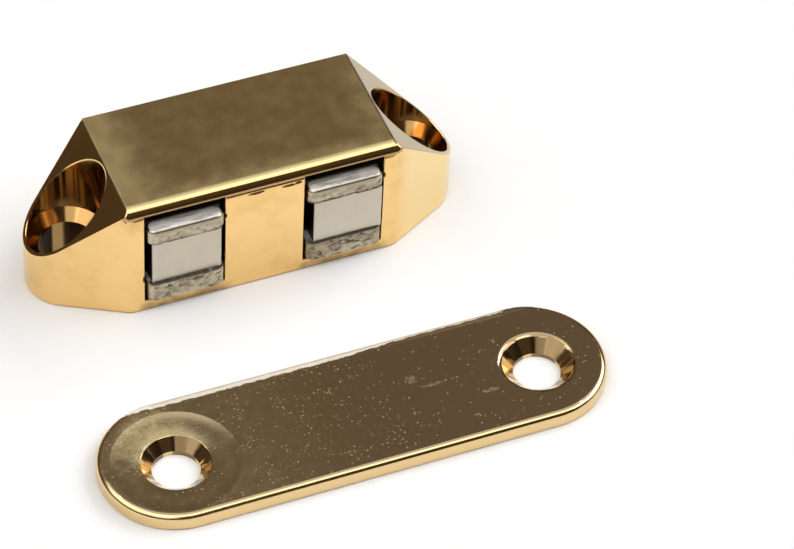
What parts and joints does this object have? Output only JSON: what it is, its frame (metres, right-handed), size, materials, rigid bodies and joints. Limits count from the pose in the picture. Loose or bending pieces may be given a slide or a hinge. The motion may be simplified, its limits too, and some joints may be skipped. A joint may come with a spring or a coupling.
{
  "type": "magnetic catch",
  "caption": "Brass-finished double magnetic catch with floating magnet packs in a trapezoid housing with screw ears, and its flat round-ended strike plate.",
  "frame": {"origin": "centre of the catch's mounting face, midway between its two screw holes", "axes": "+X from one screw ear to the other, -Y the way the magnets face (the strike plate lies on that side), +Z away from the panel the catch is screwed to"},
  "size_m": [0.0576, 0.0473, 0.0155],
  "materials": {
    "housing_plating": "polished brass plating on a zinc casting, top face satin",
    "strike_plating": "polished brass plating with fine pits",
    "sheet_steel": "zinc-plated sheet",
    "pole_steel": "nickel-plated stamped steel with rough sheared edges",
    "magnet": "matt ground face"
  },
  "bodies": {
    "root": {"housing": "housing_plating", "base_plate": "sheet_steel", "strike_plate": "strike_plating"},
    "left_pack": {"left_upper_pole": "pole_steel", "left_magnet": "magnet", "left_lower_pole": "pole_steel"},
    "right_pack": {"right_upper_pole": "pole_steel", "right_magnet": "magnet", "right_lower_pole": "pole_steel"}
  },
  "joints": [
    {"name": "left_float", "type": "slide", "parent": "root", "child": "left_pack", "axis": [0, 1, 0], "range_m": [0, 0.0006]},
    {"name": "right_float", "type": "slide", "parent": "root", "child": "right_pack", "axis": [0, 1, 0], "range_m": [0, 0.0006]}
  ]
}
